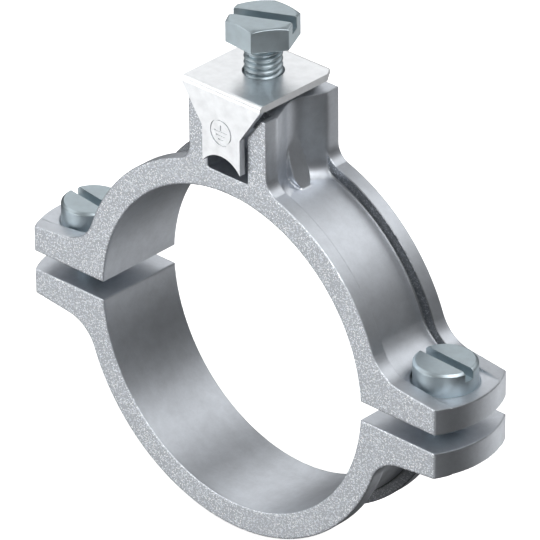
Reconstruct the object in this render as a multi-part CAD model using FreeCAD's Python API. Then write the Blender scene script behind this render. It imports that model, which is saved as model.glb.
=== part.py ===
import FreeCAD, Part
import math
import os

# Earthing pipe clamp: two zinc die-cast halves drawn together on a pipe by
# two slotted cheese-head screws, with a conductor terminal cast on top.
#
# Millimetres.  The origin is the centre of the pipe bore, half way along it.
# +Y runs along the pipe, away from the terminal's marked side, +X runs
# along the line of the two clamp screws and +Z points up to the terminal.

os.makedirs("parts", exist_ok=True)
V = FreeCAD.Vector

# Cast halves
bore_d = 54.0              # pipe seat, one circle shared by both halves
overall_length = 88.2      # end to end of the ears, across the pipe
clamp_width = 16.1         # front face to back face, along the pipe
ear_gap = 3.14             # between the two halves with the screws part run in
rim_wall = 4.3             # bore to the top of the rims
web_wall = 2.45            # bore to the recessed web between the rims
rim_width = 2.6            # each rim, along the pipe

# Ears
ear_bulge = 2.25           # how far its rounded end stands past its corners
ear_rim_thickness = 4.4    # at the corners
ear_web_thickness = 4.2    # between the rims
ear_seat_thickness = 3.95  # under a screw head, in its spot face
ear_draft = 6.5            # degrees, rims rising from the corners to the ring
ear_fillet = 6.5           # rims running up into the ring

# Terminal tower, cast on the upper half
tower_width = 15.9
tower_top = 41.9           # above the bore centre
tower_fillet = 3.0         # tower running out into the rims of the ring
scoop_depth = 2.1          # pockets in the two sides, between the walls
scoop_floor_r = 4.0        # rounding between a pocket's two sloping flanks
scoop_fillet = 2.9         # pocket running out into the web
scoop_sections = 4         # on each side of the middle, to shape the pocket
rib_tip = 35.8             # flat rib in a pocket, leaning out from its floor
rib_foot_x = 8.75          # where its face has run out into the web
rib_hollow = 0.3           # of its face, which curves out a little more at the foot
rib_width = 3.5            # at its widest, from where it narrows in a half oval each way
rib_widest_z = 30.7
channel_width = 8.2        # conductor channel, through the tower
channel_floor = 30.2       # above the bore centre
channel_height = 8.1
front_notch_width = 14.0   # top of the channel's flared lead-in, in the front end wall
back_notch_width = 10.7    # the same in the back end wall

# Screws, M6 with plain shanks for the thread
thread_d = 6.0
thread_clearance = 0.05    # radial, thread in its tapped hole
shank_clearance = 0.3      # radial, shank in the upper ears
thread_end_chamfer = 0.7
clamp_screw_inset = 7.25   # centre of a screw to the end of its ear
clamp_screw_length = 12.0
cheese_head_d = 10.0
cheese_head_height = 3.9
cheese_head_chamfer = 0.45
cheese_slot_width = 1.6
cheese_slot_depth = 1.7
spot_face_clearance = 0.28  # round a cheese head
left_slot_turn = -7.4       # degrees from the X axis
right_slot_turn = -2.6
terminal_screw_length = 10.0
terminal_screw_lift = 5.4   # head above the saddle, screw part run out
hex_across_flats = 10.0
hex_height = 3.85
hex_chamfer_d = 9.4         # flat circle left on top of the hexagon
hex_chamfer_angle = 20.0
hex_slot_width = 2.0
hex_slot_depth = 2.0
hex_slot_turn = 25.0        # degrees from the X axis, square to two of the flats

# Conductor saddle, bent from sheet
sheet = 1.15
bend_outside_r = 0.9        # coined bends, tighter than the sheet is thick
bend_inside_r = 0.1
saddle_width = 16.0
saddle_lift = 1.95          # plate above the tower, screw part run out
front_leg_clearance = 0.2   # behind the front leg, to the tower's face
back_leg_y = 7.6            # outer face of the back leg
saddle_hole_clearance = 0.25
tongue_width = 7.7          # runs in the channel
taper_length = 6.0          # along the sheet, from full width to a tongue
front_shoulder_drop = 1.0   # front taper starts this far below the plate's top
back_shoulder_lead = 2.1    # back corners are cut off from here, this far from the leg
back_leg_width = 10.0       # where it leaves the plate
foot_height = 1.8           # feet above the channel floor
arch_radius = 4.7           # bottom edge of each leg, over the conductor

# Sizes that follow
bore_r = bore_d / 2
rim_r = bore_r + rim_wall
web_r = bore_r + web_wall
half_gap = ear_gap / 2
half_width = clamp_width / 2
half_length = overall_length / 2
ear_corner_x = half_length - ear_bulge
clamp_screw_x = half_length - clamp_screw_inset
web_half = half_width - rim_width
tower_half = tower_width / 2
waist = tower_half - scoop_depth
seat_z = half_gap + ear_seat_thickness
notch_base = channel_floor + channel_height
plate_bottom = tower_top + saddle_lift
plate_top = plate_bottom + sheet
front_leg_y = -(half_width + front_leg_clearance + sheet)
taper = (saddle_width - tongue_width) / 2 / taper_length
tapped_r = thread_d / 2 + thread_clearance
over = 1.0                  # how far a cut starts outside what it cuts
beyond = rim_r + tower_top  # longer than any cut needs


def line(a, b):
    return Part.LineSegment(a, b).toShape()


def arc(a, middle, b):
    return Part.Arc(a, middle, b).toShape()


def flat(edges):
    return Part.Face(Part.Wire(edges))


def box(x0, x1, y0, y1, z0, z1):
    return Part.makeBox(x1 - x0, y1 - y0, z1 - z0, V(x0, y0, z0))


def upright(radius, z0, z1, x=0.0, y=0.0):
    return Part.makeCylinder(radius, z1 - z0, V(x, y, z0))


def along_bore(radius, y0, y1):
    return Part.makeCylinder(radius, y1 - y0, V(0, y0, 0), V(0, 1, 0))


def mirrored_x(shape):
    return shape.mirror(V(0, 0, 0), V(1, 0, 0))


def fillet_to_ring(start, direction, radius, ring_r):
    """The arc that runs from a straight flank into the outside of the ring."""
    outward = V(-direction.z, 0, direction.x)
    if outward.dot(start) < 0:
        outward = -outward
    base = start + outward * radius
    along = base.dot(direction)
    reach = (ring_r + radius) ** 2 - base.dot(base) + along ** 2
    centre = base + direction * (-along - math.sqrt(reach))
    on_flank = centre - outward * radius
    on_ring = centre * (ring_r / centre.Length)
    inward = (on_flank - centre) + (on_ring - centre)
    middle = centre + inward * (radius / inward.Length)
    return on_flank, middle, on_ring


def ear_outline(thickness, draft, fillet, ring_r):
    """Right ear from the bore to where its top has run up into the ring."""
    end_x = half_length + over
    slope = math.radians(draft)
    corner = V(ear_corner_x, 0, half_gap + thickness)
    tip = corner + V(1, 0, -math.tan(slope)) * (end_x - ear_corner_x)
    inner = V(math.sqrt(bore_r ** 2 - half_gap ** 2), 0, half_gap)
    uphill = V(-math.cos(slope), 0, math.sin(slope))
    foot, middle, on_ring = fillet_to_ring(corner, uphill, fillet, ring_r)
    end = V(end_x, 0, half_gap)
    edges = [line(inner, end), line(end, tip), line(tip, foot)]
    edges.append(arc(foot, middle, on_ring))
    return inner, edges, on_ring


def half_profile(thickness, draft, fillet, ring_r, tower):
    """Half of a casting's outline, closed on the middle plane."""
    inner, edges, start = ear_outline(thickness, draft, fillet, ring_r)
    crown = V(0, 0, ring_r)
    if tower:
        side = V(tower_half, 0, ring_r)
        foot, middle, on_ring = fillet_to_ring(side, V(0, 0, -1), tower_fillet, ring_r)
        crown = V(0, 0, tower_top)
        shoulder = V(tower_half, 0, tower_top)
        bend = (start + on_ring) * 0.5
        edges.append(arc(start, bend * (ring_r / bend.Length), on_ring))
        edges += [arc(on_ring, middle, foot), line(foot, shoulder), line(shoulder, crown)]
    else:
        bend = start + crown
        edges.append(arc(start, bend * (ring_r / bend.Length), crown))
    apex = V(0, 0, bore_r)
    bend = inner + apex
    edges.append(line(crown, apex))
    edges.append(arc(apex, bend * (bore_r / bend.Length), inner))
    return flat(edges)


def slab(face, y0, y1):
    """A half outline made whole and given its thickness along the pipe."""
    right = face.extrude(V(0, y1 - y0, 0))
    right.translate(V(0, y0, 0))
    return right.fuse(mirrored_x(right)).removeSplitter()


def ear_ends():
    """Plan outline of both halves, rounded at the ends of the ears."""
    x = ear_corner_x
    y = half_width
    a, b, c, d = [V(*corner, -beyond) for corner in ((x, -y), (x, y), (-x, y), (-x, -y))]
    right_end = arc(a, V(half_length, 0, -beyond), b)
    left_end = arc(c, V(-half_length, 0, -beyond), d)
    return flat([right_end, line(b, c), left_end, line(d, a)]).extrude(V(0, 0, 2 * beyond))


def casting(tower):
    """Two rims and the thinner web between them."""
    rim = half_profile(ear_rim_thickness, ear_draft, ear_fillet, rim_r, tower)
    web_fillet = ear_fillet + rim_wall - web_wall
    web = half_profile(ear_web_thickness, 0.0, web_fillet, web_r, False)
    body = slab(web, -half_width, half_width)
    body = body.fuse(slab(rim, -half_width, -web_half))
    body = body.fuse(slab(rim, web_half, half_width))
    return body.common(ear_ends())


def pocket_wall(y):
    """How far out a pocket's surface is: a round floor with a straight flank each side."""
    reach = math.hypot(web_half, scoop_floor_r - scoop_depth)
    flank = math.asin(scoop_floor_r / reach) - math.atan2(scoop_floor_r - scoop_depth, web_half)
    floor_half = scoop_floor_r * math.sin(flank)
    on_floor = min(abs(y), floor_half)
    depth = scoop_floor_r - math.sqrt(scoop_floor_r ** 2 - on_floor ** 2)
    return waist + depth + (abs(y) - on_floor) * math.tan(flank)


def core_section(y):
    """Right half of the tower's middle, cut across the pipe at one place."""
    wall = pocket_wall(y)
    side = V(wall, 0, web_r)
    foot, middle, on_web = fillet_to_ring(side, V(0, 0, -1), scoop_fillet, web_r)
    shoulder = V(wall, 0, tower_top)
    crown = V(0, 0, tower_top)
    within = (web_r - web_wall / 2) / web_r
    root = on_web * within
    keel = V(0, 0, web_r * within)
    edges = [line(crown, shoulder), line(shoulder, foot), arc(foot, middle, on_web)]
    edges += [line(on_web, root), line(root, keel), line(keel, crown)]
    wire = Part.Wire(edges)
    wire.translate(V(0, y, 0))
    return wire


def tower_core():
    """Middle of the tower, with a scooped pocket and a rib on each side."""
    steps = [web_half * k / scoop_sections for k in range(-scoop_sections, scoop_sections + 1)]
    right = Part.makeLoft([core_section(y) for y in steps], True, False)
    between = box(0, beyond, -web_half, web_half, half_gap, beyond)
    right = right.fuse(pocket_rib().common(between))
    return right.fuse(mirrored_x(right))


def pocket_rib():
    """Leans out from the pocket's floor to the web, with a flat face and upright sides."""
    tip = V(waist, 0, rib_tip)
    foot = V(rib_foot_x, 0, math.sqrt(web_r ** 2 - rib_foot_x ** 2))
    slope = foot - tip
    inward = V(slope.z, 0, -slope.x) / slope.Length
    root = foot * ((web_r - web_wall / 2) / web_r)
    back = V(waist / 2, 0, rib_tip)
    inner = V(waist / 2, 0, root.z)
    side = [line(back, tip), arc(tip, (tip + foot) * 0.5 + inward * rib_hollow, foot)]
    side += [line(foot, root), line(root, inner), line(inner, back)]
    ridge = flat(side).extrude(V(0, 2 * web_half, 0))
    ridge.translate(V(0, -web_half, 0))
    middle = V(0, 0, rib_widest_z)
    edge = V(0, rib_width / 2, 0)
    upper = Part.Ellipse(V(0, 0, rib_tip), middle + edge, middle)
    lower = Part.Ellipse(V(0, 0, foot.z - rib_hollow), middle - edge, middle)
    quarter = math.pi / 2
    egg = [Part.ArcOfEllipse(half, -quarter, quarter).toShape() for half in (upper, lower)]
    return ridge.common(flat(egg).extrude(V(beyond, 0, 0)))


def notch(y0, y1, top_width):
    """Flared lead-in above the channel, through one end wall."""
    low = channel_width / 2
    high = top_width / 2
    slope = (high - low) / (tower_top - notch_base)
    top = tower_top + over
    wide = high + slope * over
    points = [V(-low, y0, notch_base), V(low, y0, notch_base), V(wide, y0, top), V(-wide, y0, top)]
    edges = [line(a, b) for a, b in zip(points, points[1:] + points[:1])]
    return flat(edges).extrude(V(0, y1 - y0, 0))


def upper_half():
    body = casting(True).fuse(tower_core())
    body = body.cut(along_bore(bore_r, -half_width - over, half_width + over))
    half = channel_width / 2
    out = half_width + over
    body = body.cut(box(-half, half, -out, out, channel_floor, notch_base))
    body = body.cut(notch(-out, -web_half, front_notch_width))
    body = body.cut(notch(web_half, out, back_notch_width))
    body = body.cut(upright(tapped_r, notch_base - over, tower_top + over))
    for x in (-clamp_screw_x, clamp_screw_x):
        body = body.cut(upright(thread_d / 2 + shank_clearance, 0, seat_z + over, x))
        body = body.cut(upright(cheese_head_d / 2 + spot_face_clearance, seat_z, beyond / 2, x))
    return body.removeSplitter()


def lower_half():
    body = casting(False)
    for x in (-clamp_screw_x, clamp_screw_x):
        body = body.cut(upright(tapped_r, 0, beyond / 2, x))
    return body.removeSplitter().mirror(V(0, 0, 0), V(0, 0, 1))


def shank(length, top):
    """Thread outside diameter, down from the head, with a chamfered end."""
    radius = thread_d / 2
    end = top - length
    body = upright(radius, end + thread_end_chamfer, top)
    point = Part.makeCone(radius - thread_end_chamfer, radius, thread_end_chamfer, V(0, 0, end))
    return body.fuse(point)


def turned_slot(width, depth, top, turn):
    slot = box(-beyond, beyond, -width / 2, width / 2, top - depth, top + over)
    slot.rotate(V(0, 0, 0), V(0, 0, 1), turn)
    return slot


def clamp_screw(x, turn):
    radius = cheese_head_d / 2
    top = seat_z + cheese_head_height
    rim = top - cheese_head_chamfer
    head = upright(radius, seat_z, rim)
    head = head.fuse(Part.makeCone(radius, radius - cheese_head_chamfer, cheese_head_chamfer, V(0, 0, rim)))
    screw = head.fuse(shank(clamp_screw_length, seat_z)).removeSplitter()
    screw = screw.cut(turned_slot(cheese_slot_width, cheese_slot_depth, top, turn))
    screw.translate(V(x, 0, 0))
    return screw


def terminal_screw():
    under = plate_top + terminal_screw_lift
    top = under + hex_height
    sixth = math.radians(60)
    corner_r = hex_across_flats / 2 / math.cos(sixth / 2)
    corners = []
    for k in range(7):
        angle = math.radians(hex_slot_turn) + sixth * (k + 0.5)
        corners.append(V(corner_r * math.cos(angle), corner_r * math.sin(angle), under))
    head = flat([line(a, b) for a, b in zip(corners, corners[1:])]).extrude(V(0, 0, hex_height))
    drop = math.tan(math.radians(hex_chamfer_angle))
    wide = hex_chamfer_d / 2 + hex_height / drop
    head = head.common(Part.makeCone(wide, hex_chamfer_d / 2, hex_height, V(0, 0, under)))
    screw = head.fuse(shank(terminal_screw_length, under)).removeSplitter()
    return screw.cut(turned_slot(hex_slot_width, hex_slot_depth, top, hex_slot_turn))


def bent_strip():
    """Side section of the saddle: plate and two legs, bent at outer radius."""
    foot = channel_floor + foot_height
    diagonal = math.sqrt(0.5)

    def loop(y0, y1, top, radius):
        side = top - radius
        knee = radius * (1 - diagonal)
        a = V(0, y0, foot)
        b = V(0, y0, side)
        c = V(0, y0 + radius, top)
        d = V(0, y1 - radius, top)
        e = V(0, y1, side)
        f = V(0, y1, foot)
        edges = [line(a, b), arc(b, V(0, y0 + knee, top - knee), c), line(c, d)]
        edges += [arc(d, V(0, y1 - knee, top - knee), e), line(e, f), line(f, a)]
        return flat(edges).extrude(V(saddle_width, 0, 0))

    skin = loop(front_leg_y, back_leg_y, plate_top, bend_outside_r)
    room = loop(front_leg_y + sheet, back_leg_y - sheet, plate_bottom, bend_inside_r)
    strip = skin.cut(room)
    strip.translate(V(-saddle_width / 2, 0, 0))
    return strip


def both_sides(points, along):
    """A polygon given its length, with its mirror image on the left."""
    edges = [line(a, b) for a, b in zip(points, points[1:] + points[:1])]
    right = flat(edges).extrude(along)
    return right.fuse(mirrored_x(right))


def leg_sides(y0, y1, shoulder_x, shoulder):
    """What is cut away beside one leg, from its shoulder down past its tongue."""
    out = saddle_width
    narrow = tongue_width / 2
    foot = channel_floor
    tongue = shoulder - (shoulder_x - narrow) / taper
    points = [V(out, y0, shoulder), V(shoulder_x, y0, shoulder), V(narrow, y0, tongue)]
    points += [V(narrow, y0, foot), V(out, y0, foot)]
    return both_sides(points, V(0, y1 - y0, 0))


def plate_corners():
    """The back corners of the plate, cut off at a slant as far as the bend."""
    start = back_leg_y - back_shoulder_lead
    knee_x = saddle_width / 2 - taper * back_shoulder_lead
    out = saddle_width
    low = plate_bottom
    points = [V(saddle_width / 2, start, low), V(knee_x, back_leg_y, low)]
    points += [V(knee_x, out, low), V(out, out, low), V(out, start, low)]
    return both_sides(points, V(0, 0, saddle_width))


def saddle():
    body = bent_strip()
    front = front_leg_y - over
    back = back_leg_y + over
    behind = front_leg_y + sheet
    body = body.cut(plate_corners())
    body = body.cut(leg_sides(front, behind, saddle_width / 2, plate_top - front_shoulder_drop))
    body = body.cut(leg_sides(0, back, back_leg_width / 2, plate_bottom))
    crown = channel_floor + foot_height
    centre = crown - math.sqrt(arch_radius ** 2 - (tongue_width / 2) ** 2)
    arch = Part.makeCylinder(arch_radius, back - front, V(0, front, centre), V(0, 1, 0))
    body = body.cut(arch)
    hole_r = thread_d / 2 + saddle_hole_clearance
    return body.cut(upright(hole_r, plate_bottom - over, plate_top + over)).removeSplitter()


nodes = {
    "upper_half": upper_half(),
    "lower_half": lower_half(),
    "left_clamp_screw": clamp_screw(-clamp_screw_x, left_slot_turn),
    "right_clamp_screw": clamp_screw(clamp_screw_x, right_slot_turn),
    "conductor_saddle": saddle(),
    "terminal_screw": terminal_screw(),
}

for name, shape in nodes.items():
    solid = shape.Solids[0]
    print(name, "solids", len(shape.Solids), "valid", shape.isValid(), "volume", round(shape.Volume, 1))
    solid.exportStep("parts/" + name + ".step")
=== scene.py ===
from math import ceil, cos, radians, sin, tan, tau

import bmesh
import bpy
from mathutils import Matrix, Vector


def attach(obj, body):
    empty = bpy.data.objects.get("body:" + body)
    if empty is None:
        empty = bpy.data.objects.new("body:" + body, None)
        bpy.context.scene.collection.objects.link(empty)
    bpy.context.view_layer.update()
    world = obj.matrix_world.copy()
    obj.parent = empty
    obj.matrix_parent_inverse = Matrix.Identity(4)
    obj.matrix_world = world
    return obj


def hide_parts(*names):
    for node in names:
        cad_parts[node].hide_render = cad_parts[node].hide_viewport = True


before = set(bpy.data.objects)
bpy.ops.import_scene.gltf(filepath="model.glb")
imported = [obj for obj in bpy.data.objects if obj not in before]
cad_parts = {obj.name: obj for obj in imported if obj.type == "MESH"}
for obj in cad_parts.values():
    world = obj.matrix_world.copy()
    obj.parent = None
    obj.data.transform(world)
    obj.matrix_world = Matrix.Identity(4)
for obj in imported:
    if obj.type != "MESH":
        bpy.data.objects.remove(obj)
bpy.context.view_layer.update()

mm = 0.001

# The studio
# A wide pale floor sheet, lit from within like a light table. The clamp hangs just above it,
# so that its lower half has room to open, with large softboxes round it and one camera.
floor_z = -35.0 * mm
floor_side = 8.0

floor_shape = bmesh.new()
bmesh.ops.create_grid(floor_shape, x_segments=1, y_segments=1, size=floor_side / 2)
bmesh.ops.translate(floor_shape, verts=floor_shape.verts, vec=(0, 0, floor_z))
floor_mesh = bpy.data.meshes.new("studio_floor")
floor_shape.to_mesh(floor_mesh)
floor_shape.free()
studio_floor = bpy.data.objects.new("studio_floor", floor_mesh)
bpy.context.scene.collection.objects.link(studio_floor)
studio_floor.visible_glossy = False
studio_floor.visible_diffuse = False
studio_floor.visible_shadow = False

floor_material = bpy.data.materials.new("pale_floor_sheet")
floor_material.use_nodes = True
floor_shader = floor_material.node_tree.nodes["Principled BSDF"]
floor_shader.inputs["Base Color"].default_value = (0.80, 0.80, 0.80, 1)
floor_shader.inputs["Roughness"].default_value = 0.9
floor_shader.inputs["Emission Color"].default_value = (1, 1, 1, 1)
floor_shader.inputs["Emission Strength"].default_value = 0.9
floor_mesh.materials.append(floor_material)

world = bpy.data.worlds.new("studio_room")
world.use_nodes = True
room_light = world.node_tree.nodes["Background"]
room_light.inputs["Color"].default_value = (1, 1, 1, 1)
room_light.inputs["Strength"].default_value = 0.03
bpy.context.scene.world = world
bpy.context.scene.view_settings.view_transform = "Standard"


def towards(azimuth, elevation):
    """Unit vector to a place round the clamp; azimuth 0 is the marked side, 90 its right."""
    turn, rise = radians(azimuth), radians(elevation)
    return Vector((sin(turn) * cos(rise), -cos(turn) * cos(rise), sin(rise)))


softbox_distance = 1.0
softbox_side = 0.60
softboxes = {
    "softbox_key": (75, 55, 6.0),
    "softbox_front": (-25, 0, 3.5),
    "softbox_front_right": (45, -25, 0.8),
    "softbox_left_high": (-55, 40, 2.0),
    "softbox_left_top": (-100, 50, 1.0),
    "softbox_left_low": (-45, -30, 1.0),
    "softbox_back_left": (-135, 30, 1.2),
    "softbox_back": (165, 30, 0.8),
    "softbox_back_high": (155, 45, 1.0),
    "softbox_back_low": (175, -30, 1.0),
    "softbox_right_low": (145, -30, 0.5),
}
for box_name, (azimuth, elevation, power) in softboxes.items():
    light = bpy.data.lights.new(box_name, "AREA")
    light.shape = "SQUARE"
    light.size = softbox_side
    light.energy = power
    lamp = bpy.data.objects.new(box_name, light)
    lamp.location = towards(azimuth, elevation) * softbox_distance
    lamp.rotation_euler = towards(azimuth, elevation).to_track_quat("Z", "Y").to_euler()
    lamp.visible_camera = False
    bpy.context.scene.collection.objects.link(lamp)

camera_azimuth, camera_elevation, camera_roll = 43.384, 29.354, -0.489
camera_place = Vector((576.99, -609.42, 482.62)) * mm
camera_lens = 421.49
back = towards(camera_azimuth, camera_elevation)
level_right = Vector((cos(radians(camera_azimuth)), sin(radians(camera_azimuth)), 0))
level_up = back.cross(level_right)
roll = radians(camera_roll)
right = cos(roll) * level_right + sin(roll) * level_up
up = cos(roll) * level_up - sin(roll) * level_right
camera_turn = Matrix((right, up, back)).transposed().to_4x4()
camera_data = bpy.data.cameras.new("studio_camera")
camera_data.sensor_width = 36
camera_data.lens = camera_lens
camera_data.clip_start = 0.05
camera_data.clip_end = 50
studio_camera = bpy.data.objects.new("studio_camera", camera_data)
studio_camera.matrix_world = Matrix.Translation(camera_place) @ camera_turn
bpy.context.scene.collection.objects.link(studio_camera)
bpy.context.scene.camera = studio_camera

# Lower half of the clamp
# The plain lower half of the ring, die-cast in zinc with two rims and a thinner web,
# its two ears tapped for the clamp screws. Tumbled after casting, so its edges are soft.
turned_radii = (27.0 * mm, 29.45 * mm, 31.3 * mm)
turned_reach = 0.05 * mm
turned_fade = 1.8
square_from, square_span = 0.975, 0.015
cast_skin = 0.15 * mm
tumbling = 2
polishing = 50
polished_turn = 10
kept_faces = 0.25
merge_within = 0.002 * mm


def merged_copy(node_name):
    """The node's shape with its loose triangles joined."""
    shape = bmesh.new()
    shape.from_mesh(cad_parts[node_name].data)
    bmesh.ops.remove_doubles(shape, verts=shape.verts, dist=merge_within)
    return shape


def with_modifiers(shape, *kinds):
    """The shape with modifiers applied to it, each given as its kind and its settings."""
    mesh = bpy.data.meshes.new("shape_to_finish")
    shape.to_mesh(mesh)
    shape.free()
    carrier = bpy.data.objects.new("shape_to_finish", mesh)
    bpy.context.scene.collection.objects.link(carrier)
    for kind, settings in kinds:
        maker = carrier.modifiers.new(kind.lower(), kind)
        for key, value in settings.items():
            setattr(maker, key, value)
    made = carrier.evaluated_get(bpy.context.evaluated_depsgraph_get())
    finished = bmesh.new()
    finished.from_mesh(made.to_mesh())
    made.to_mesh_clear()
    bpy.data.objects.remove(carrier)
    return finished


def tumbled(shape):
    """A casting with its edges and inner corners softened, as by tumbling in stones.

    The walls of the bore, the web and the rims are put back on their round radii, and the
    surfaces that turn little are then smoothed without moving the softened edges.
    """
    skin = ("REMESH", {"mode": "VOXEL", "voxel_size": cast_skin})
    rub = ("SMOOTH", {"factor": 0.5, "iterations": tumbling})
    shape = with_modifiers(shape, skin, rub)
    shape.normal_update()
    for vert in shape.verts:
        outward = Vector((vert.co.x, 0, vert.co.z))
        facing = abs(vert.normal.dot(outward)) / outward.length
        for radius in turned_radii:
            near = min(1, max(0, turned_fade - abs(outward.length - radius) / turned_reach))
            square_on = min(1, max(0, (facing - square_from) / square_span))
            vert.co += outward * (radius / outward.length - 1) * near * square_on
    shape.normal_update()
    least_alike = cos(radians(polished_turn))
    calm = []
    for vert in shape.verts:
        around = [edge.other_vert(vert).normal for edge in vert.link_edges]
        if all(vert.normal.dot(normal) > least_alike for normal in around):
            calm.append(vert)
    for _ in range(polishing):
        bmesh.ops.smooth_vert(
            shape, verts=calm, factor=0.5, use_axis_x=True, use_axis_y=True, use_axis_z=True,
        )
    return with_modifiers(shape, ("DECIMATE", {"ratio": kept_faces}))


def new_piece(shape, name, material, body, slot, *stands_for, smooth_under=35):
    """Makes the mesh an object that rides on its body."""
    mesh = bpy.data.meshes.new(name)
    shape.to_mesh(mesh)
    shape.free()
    mesh.shade_smooth()
    mesh.set_sharp_from_angle(angle=radians(smooth_under))
    mesh.materials.append(material)
    piece = bpy.data.objects.new(name, mesh)
    bpy.context.scene.collection.objects.link(piece)
    even = piece.modifiers.new("even_shading", "WEIGHTED_NORMAL")
    even.keep_sharp = True
    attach(piece, body)
    if stands_for:
        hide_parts(*stands_for)
    return piece


def shader_tools(material):
    """Short ways to add and join the nodes of one material."""
    tree = material.node_tree

    def add(kind, **settings):
        node = tree.nodes.new(kind)
        for key, value in settings.items():
            setattr(node, key, value)
        return node

    def join(output, socket):
        tree.links.new(output, socket)

    def mapped(value, low, high, start=0.0, end=1.0):
        node = add("ShaderNodeMapRange")
        for key, number in (("From Min", low), ("From Max", high), ("To Min", start), ("To Max", end)):
            node.inputs[key].default_value = number
        join(value, node.inputs["Value"])
        return node.outputs[0]

    return add, join, mapped


# Where the finish of the castings changes, and where painted shade darkens them, as the start and the
# end of each change
end_face_turn = (0.80, 0.97)
rim_depth = (4.5 * mm, 5.0 * mm)
# Painted shade: the back rim's inner wall, between the rims and below the tower, is darkened in its
# colour to a set tone
painted_shade_depth = (5.6 * mm, 5.8 * mm)
painted_shade_height = (28.3 * mm, 29.3 * mm)
painted_shade_sideways = (33 * mm, 34 * mm)
painted_shade_facing = (-0.05, -0.25)
painted_shade_tone = 0.38
# The castings' clouds and grains
cloud_scale = 420
cloud_detail = 6
cloud_roughness = 0.74
cloud_middle = (0.30, 0.70)
cloud_tones = (0.91, 1.08)
grain_size = 0.21 * mm
grain_widths = (0.28, 0.78)
grain_rise = 0.25
grain_tones = (0.73, 1.59)
cast_metallic = 0.93
cast_relief = 0.35
cast_relief_depth = 0.02 * mm


def cast_zinc(name, colour, smooth_roughness, grain_roughness):
    """Satin die-cast zinc: cloudy sides, sparkling ends, and painted shade darkening the inner wall of
    the back rim.
    """
    material = bpy.data.materials.new(name)
    material.use_nodes = True
    shader = material.node_tree.nodes["Principled BSDF"]
    shader.inputs["Metallic"].default_value = cast_metallic
    add, join, mapped = shader_tools(material)
    place = add("ShaderNodeTexCoord")

    facing = add("ShaderNodeSeparateXYZ")
    join(place.outputs["Normal"], facing.inputs[0])
    along = add("ShaderNodeMath", operation="ABSOLUTE")
    join(facing.outputs["Y"], along.inputs[0])
    spot = add("ShaderNodeSeparateXYZ")
    join(place.outputs["Object"], spot.inputs[0])
    depth = add("ShaderNodeMath", operation="ABSOLUTE")
    join(spot.outputs["Y"], depth.inputs[0])
    grained = add("ShaderNodeMath", operation="MULTIPLY")
    join(mapped(along.outputs[0], *end_face_turn), grained.inputs[0])
    near_rims = mapped(depth.outputs[0], *rim_depth)
    join(near_rims, grained.inputs[1])
    end_face = grained.outputs[0]

    clouds = add("ShaderNodeTexNoise")
    clouds.inputs["Scale"].default_value = cloud_scale
    clouds.inputs["Detail"].default_value = cloud_detail
    clouds.inputs["Roughness"].default_value = cloud_roughness
    join(place.outputs["Object"], clouds.inputs["Vector"])
    cloudy = mapped(clouds.outputs["Fac"], *cloud_middle, *cloud_tones)

    grains = add("ShaderNodeTexVoronoi", feature="F1")
    grains.inputs["Scale"].default_value = 1 / grain_size
    join(place.outputs["Object"], grains.inputs["Vector"])
    speck = add("ShaderNodeSeparateColor")
    join(grains.outputs["Color"], speck.inputs[0])
    inside = add("ShaderNodeMath", operation="SUBTRACT")
    join(mapped(speck.outputs["Green"], 0, 1, *grain_widths), inside.inputs[0])
    join(grains.outputs["Distance"], inside.inputs[1])
    shine = add("ShaderNodeMath", operation="MULTIPLY")
    join(mapped(inside.outputs[0], 0, grain_rise), shine.inputs[0])
    join(speck.outputs["Red"], shine.inputs[1])

    choose = add("ShaderNodeMix", data_type="FLOAT")
    join(end_face, choose.inputs["Factor"])
    join(cloudy, choose.inputs[2])
    join(mapped(shine.outputs[0], 0, 1, *grain_tones), choose.inputs[3])

    # Painted shade: faces between the rims that face the marked side, below the tower and clear of the
    # ear ends, get a darker colour
    between_rims = mapped(depth.outputs[0], *painted_shade_depth, 1, 0)
    below_tower = mapped(spot.outputs["Z"], *painted_shade_height, 1, 0)
    sideways = add("ShaderNodeMath", operation="ABSOLUTE")
    join(spot.outputs["X"], sideways.inputs[0])
    clear_of_ends = mapped(sideways.outputs[0], *painted_shade_sideways, 1, 0)
    painted_shade_mask = add("ShaderNodeMath", operation="MULTIPLY")
    join(between_rims, painted_shade_mask.inputs[0])
    join(mapped(facing.outputs["Y"], *painted_shade_facing), painted_shade_mask.inputs[1])
    for limit in (near_rims, below_tower, clear_of_ends):
        limited = add("ShaderNodeMath", operation="MULTIPLY")
        join(painted_shade_mask.outputs[0], limited.inputs[0])
        join(limit, limited.inputs[1])
        painted_shade_mask = limited
    tone = add("ShaderNodeMath", operation="MULTIPLY")
    join(choose.outputs[0], tone.inputs[0])
    join(mapped(painted_shade_mask.outputs[0], 0, 1, 1, painted_shade_tone), tone.inputs[1])
    tint = add("ShaderNodeVectorMath", operation="SCALE")
    tint.inputs[0].default_value = colour
    join(tone.outputs[0], tint.inputs["Scale"])
    join(tint.outputs[0], shader.inputs["Base Color"])

    join(mapped(end_face, 0, 1, smooth_roughness, grain_roughness), shader.inputs["Roughness"])

    height = add("ShaderNodeMix", data_type="FLOAT")
    join(end_face, height.inputs["Factor"])
    join(clouds.outputs["Fac"], height.inputs[2])
    join(shine.outputs[0], height.inputs[3])
    relief = add("ShaderNodeBump")
    relief.inputs["Strength"].default_value = cast_relief
    relief.inputs["Distance"].default_value = cast_relief_depth
    join(height.outputs[0], relief.inputs["Height"])
    join(relief.outputs[0], shader.inputs["Normal"])
    return material


zinc = cast_zinc("die_cast_zinc", (0.705, 0.74, 0.79), 0.44, 0.50)

lower_shape = tumbled(merged_copy("lower_half"))
new_piece(lower_shape, "lower_half_casting", zinc, "lower_half", "zinc_casting", "lower_half")

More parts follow.
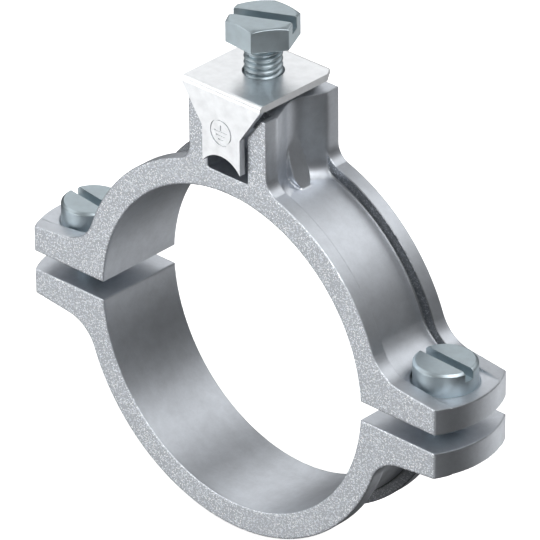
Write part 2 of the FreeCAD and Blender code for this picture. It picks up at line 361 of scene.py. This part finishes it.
# Upper half of the clamp
# The same casting with the terminal tower on its crown: two end walls round the conductor
# channel, a hollow pocket with a flat-faced rib in each side, and a tapped hole on top.
upper_shape = tumbled(merged_copy("upper_half"))
new_piece(upper_shape, "upper_half_casting", zinc, "upper_half", "zinc_casting", "upper_half")

# Clamp screws
# Two slotted cheese-head screws in blue-passivated zinc plate, cold headed from steel wire,
# with a rolled M6 thread. They pass through the upper ears and draw the lower ears up.
thread_pitch = 1.0 * mm
thread_crest_r = 2.98 * mm
thread_root_r = 2.52 * mm
thread_steps = 36
thread_end_r = 2.3 * mm
# One turn of the thread from root to root, as (share of the pitch, share of the depth)
thread_flank = (
    (0, 0), (0.07, 0), (0.21, 0.55), (0.34, 0.88), (0.50, 1),
    (0.66, 0.88), (0.79, 0.55), (0.93, 0), (1, 0),
)
head_lap = 0.5 * mm
head_sides = 72
head_flat_within = 0.3
head_edge_round = 0.10 * mm
head_round_steps = 2
head_edge_angle = 30
saw_length = 20 * mm
# The faint streaks of the plating
film_scale = 600
film_detail = 4
film_middle = (0.3, 0.7)
film_tones = (0.92, 1.07)
film_sheen = (-0.05, 0.06)
film_relief = 0.12
film_relief_depth = 0.01 * mm


def plated_steel(name, colour, roughness):
    """Steel with a thin satin plating, faintly streaked by handling."""
    material = bpy.data.materials.new(name)
    material.use_nodes = True
    shader = material.node_tree.nodes["Principled BSDF"]
    shader.inputs["Metallic"].default_value = 1.0
    add, join, mapped = shader_tools(material)
    place = add("ShaderNodeTexCoord")
    film = add("ShaderNodeTexNoise")
    film.inputs["Scale"].default_value = film_scale
    film.inputs["Detail"].default_value = film_detail
    join(place.outputs["Object"], film.inputs["Vector"])
    tint = add("ShaderNodeVectorMath", operation="SCALE")
    tint.inputs[0].default_value = colour
    join(mapped(film.outputs["Fac"], *film_middle, *film_tones), tint.inputs["Scale"])
    join(tint.outputs[0], shader.inputs["Base Color"])
    shinier, duller = film_sheen
    satin = mapped(film.outputs["Fac"], 0, 1, roughness + shinier, roughness + duller)
    join(satin, shader.inputs["Roughness"])
    relief = add("ShaderNodeBump")
    relief.inputs["Strength"].default_value = film_relief
    relief.inputs["Distance"].default_value = film_relief_depth
    join(film.outputs["Fac"], relief.inputs["Height"])
    join(relief.outputs[0], shader.inputs["Normal"])
    return material


def whole(shape):
    """All the corners, edges and faces of the shape."""
    return shape.verts[:] + shape.edges[:] + shape.faces[:]


def rolled_thread(x, low, high):
    """A right-hand thread between two heights, closed at both ends and pointed below."""
    shape = bmesh.new()
    turns = ceil((high - low) / thread_pitch) + 2
    start = low - thread_pitch
    depth = thread_crest_r - thread_root_r
    flank = []
    for rise, reach in thread_flank:
        place = (x + thread_root_r + depth * reach, 0, start + rise * thread_pitch)
        flank.append(shape.verts.new(place))
    for first, second in zip(flank, flank[1:]):
        shape.edges.new((first, second))
    bmesh.ops.spin(
        shape, geom=shape.verts[:] + shape.edges[:], cent=(x, 0, 0), axis=(0, 0, 1),
        dvec=(0, 0, thread_pitch / thread_steps), angle=tau * turns, steps=turns * thread_steps,
    )
    bmesh.ops.remove_doubles(shape, verts=shape.verts, dist=merge_within)
    for height, outward in ((low, -1), (high, 1)):
        bmesh.ops.bisect_plane(
            shape, geom=whole(shape), dist=0, plane_co=(x, 0, height), plane_no=(0, 0, outward),
            clear_outer=True,
        )
        open_edges = [edge for edge in shape.edges if edge.is_boundary]
        end_edges = [edge for edge in open_edges if abs(edge.verts[0].co.z - height) < merge_within]
        bmesh.ops.contextual_create(shape, geom=end_edges)
    bmesh.ops.recalc_face_normals(shape, faces=shape.faces)
    for vert in shape.verts:
        outward = Vector((vert.co.x - x, vert.co.y, 0))
        allowed = thread_end_r + vert.co.z - low
        if outward.length > allowed:
            vert.co -= outward * (1 - allowed / outward.length)
    return shape


def combined(first, second, operation):
    """Two closed shapes made one by a union, a difference or an intersection."""
    mesh = bpy.data.meshes.new("shape_to_combine")
    second.to_mesh(mesh)
    second.free()
    other = bpy.data.objects.new("shape_to_combine", mesh)
    bpy.context.scene.collection.objects.link(other)
    settings = {"operation": operation, "solver": "EXACT", "object": other}
    shape = with_modifiers(first, ("BOOLEAN", settings))
    bpy.data.objects.remove(other)
    return shape


def turned(profile):
    """A closed shape turned about the vertical axis from (radius, height) points."""
    shape = bmesh.new()
    verts = [shape.verts.new((radius, 0, height)) for radius, height in profile]
    for first, second in zip(verts, verts[1:]):
        shape.edges.new((first, second))
    bmesh.ops.spin(
        shape, geom=shape.verts[:] + shape.edges[:], cent=(0, 0, 0), axis=(0, 0, 1),
        angle=tau, steps=head_sides, use_merge=True,
    )
    bmesh.ops.remove_doubles(shape, verts=shape.verts, dist=merge_within)
    bmesh.ops.dissolve_limit(
        shape, angle_limit=radians(head_flat_within), verts=shape.verts, edges=shape.edges,
    )
    bmesh.ops.recalc_face_normals(shape, faces=shape.faces)
    return shape


def slotted(head, top, width, depth, turn):
    """The head with a driver slot sawn across it."""
    saw = bmesh.new()
    bmesh.ops.create_cube(saw, size=1)
    bmesh.ops.scale(saw, verts=saw.verts, vec=(saw_length, width, 2 * depth))
    saw_turn = Matrix.Rotation(radians(turn), 3, "Z")
    bmesh.ops.rotate(saw, verts=saw.verts, cent=(0, 0, 0), matrix=saw_turn)
    bmesh.ops.translate(saw, verts=saw.verts, vec=(0, 0, top))
    return combined(head, saw, "DIFFERENCE")


def soften_edges(shape):
    """Rounds the sharp edges of a screw head."""
    sharp = []
    for edge in shape.edges:
        if len(edge.link_faces) == 2 and edge.calc_face_angle() > radians(head_edge_angle):
            sharp.append(edge)
    bmesh.ops.bevel(
        shape, geom=sharp, offset=head_edge_round, offset_type="OFFSET", affect="EDGES",
        segments=head_round_steps, profile=0.5, material=-1, loop_slide=True,
    )


blue_plate = plated_steel("blue_passivated_steel", (0.52, 0.60, 0.64), 0.45)
clamp_screw_x = 36.85 * mm
clamp_screw_end = -6.48 * mm
cheese_under, cheese_top = 5.52 * mm, 9.42 * mm
cheese_r = 5.0 * mm
cheese_chamfer = 0.45 * mm
cheese_slot = (1.6 * mm, 1.7 * mm)
for side, x, slot_turn in (("left", -clamp_screw_x, -7.4), ("right", clamp_screw_x, -2.6)):
    rim = cheese_top - cheese_chamfer
    outline = [(0, cheese_under), (cheese_r, cheese_under), (cheese_r, rim)]
    outline += [(cheese_r - cheese_chamfer, cheese_top), (0, cheese_top)]
    head = slotted(turned(outline), cheese_top, *cheese_slot, slot_turn)
    soften_edges(head)
    bmesh.ops.translate(head, verts=head.verts, vec=(x, 0, 0))
    stem = rolled_thread(x, clamp_screw_end, cheese_under + head_lap)
    screw_shape = combined(head, stem, "UNION")
    node_name = side + "_clamp_screw"
    new_piece(screw_shape, side + "_cheese_head_screw", blue_plate, node_name, "plated_screw", node_name)

# Conductor saddle
# A bright zinc-plated steel strip, blanked, stamped with the earth sign and bent twice.
# One tapered leg hangs in front of the tower and one in its back notch, and the arches at
# their feet press the conductor down. Seams above and below the sign keep its cut local.
leg_face_y = -9.4 * mm
sign_centre_z = 38.0 * mm
sign_r = 2.08 * mm
sign_line = 0.22 * mm
sign_depth = 0.16 * mm
sign_steps = 64
sign_seam = 3 * mm
upright_within = 0.02
sign_stem = (0.35 * mm, 1.25 * mm)
sign_bars = ((0.20 * mm, 2.56 * mm), (-0.48 * mm, 1.9 * mm), (-1.12 * mm, 1.02 * mm))


def sign_block(shape, x, z, wide, tall):
    """One straight line of the stamped sign, as a block that cuts into the leg."""
    made = bmesh.ops.create_cube(shape, size=1)
    bmesh.ops.scale(shape, verts=made["verts"], vec=(wide, 2 * sign_depth, tall))
    bmesh.ops.translate(shape, verts=made["verts"], vec=(x, leg_face_y, z))


saddle_shape = merged_copy("conductor_saddle")
stamp = bmesh.new()
ring = []
for across, deep in ((-1, -1), (1, -1), (1, 1), (-1, 1)):
    corner = (sign_r + across * sign_line / 2, leg_face_y + deep * sign_depth, sign_centre_z)
    ring.append(stamp.verts.new(corner))
for first, second in zip(ring, ring[1:] + ring[:1]):
    stamp.edges.new((first, second))
bmesh.ops.spin(
    stamp, geom=stamp.verts[:] + stamp.edges[:], cent=(0, leg_face_y, sign_centre_z), axis=(0, 1, 0),
    angle=tau, steps=sign_steps, use_merge=True,
)
stem_low, stem_high = sign_stem
stem_middle = sign_centre_z + (stem_low + stem_high) / 2
sign_block(stamp, 0, stem_middle, sign_line, stem_high - stem_low)
for rise, length in sign_bars:
    sign_block(stamp, 0, sign_centre_z + rise, length, sign_line)
bmesh.ops.recalc_face_normals(stamp, faces=stamp.faces)
for height in (sign_centre_z - sign_seam, sign_centre_z + sign_seam):
    bmesh.ops.bisect_plane(
        saddle_shape, geom=whole(saddle_shape), dist=0, plane_co=(0, 0, height), plane_no=(0, 0, 1),
    )
saddle_shape = combined(saddle_shape, stamp, "DIFFERENCE")
bright_plate = plated_steel("bright_zinc_sheet", (0.91, 0.93, 0.95), 0.34)
saddle = new_piece(
    saddle_shape, "conductor_saddle_strip", bright_plate, "conductor_saddle", "bright_sheet",
    "conductor_saddle",
)
for polygon in saddle.data.polygons:
    polygon.use_smooth = abs(polygon.normal.z) > upright_within

# Terminal screw
# A hexagon-head M6 screw with a driver slot, in the same blue-passivated plate. It runs in
# the tower's tapped hole, and its head presses the saddle down on the conductor.
hex_under, hex_top = 50.4 * mm, 54.25 * mm
hex_across_flats = 10.0 * mm
hex_chamfer_r = 4.7 * mm
hex_chamfer_slope = 20
bell_fall = 2.0 * mm
bell_foot = hex_under - mm
hex_slot = (2.0 * mm, 2.0 * mm)
hex_slot_turn = 25.0
terminal_screw_end = 40.4 * mm

hexagon = bmesh.new()
hex_corner_r = hex_across_flats / 2 / cos(radians(30))
bmesh.ops.create_circle(hexagon, cap_ends=True, segments=6, radius=hex_corner_r)
hex_turn = Matrix.Rotation(radians(hex_slot_turn), 3, "Z")
bmesh.ops.rotate(hexagon, verts=hexagon.verts, cent=(0, 0, 0), matrix=hex_turn)
bmesh.ops.translate(hexagon, verts=hexagon.verts, vec=(0, 0, hex_under))
raised = bmesh.ops.extrude_face_region(hexagon, geom=hexagon.faces[:])["geom"]
raised_verts = [part for part in raised if isinstance(part, bmesh.types.BMVert)]
bmesh.ops.translate(hexagon, verts=raised_verts, vec=(0, 0, hex_top - hex_under))
bmesh.ops.recalc_face_normals(hexagon, faces=hexagon.faces)
bell_r = hex_chamfer_r + bell_fall / tan(radians(hex_chamfer_slope))
outline = [(0, bell_foot), (bell_r, bell_foot), (bell_r, hex_top - bell_fall)]
outline += [(hex_chamfer_r, hex_top), (0, hex_top)]
bell = turned(outline)
head = combined(hexagon, bell, "INTERSECT")
head = slotted(head, hex_top, *hex_slot, hex_slot_turn)
soften_edges(head)
stem = rolled_thread(0, terminal_screw_end, hex_under + head_lap)
screw_shape = combined(head, stem, "UNION")
new_piece(
    screw_shape, "hexagon_terminal_screw", blue_plate, "terminal_screw", "plated_screw",
    "terminal_screw",
)
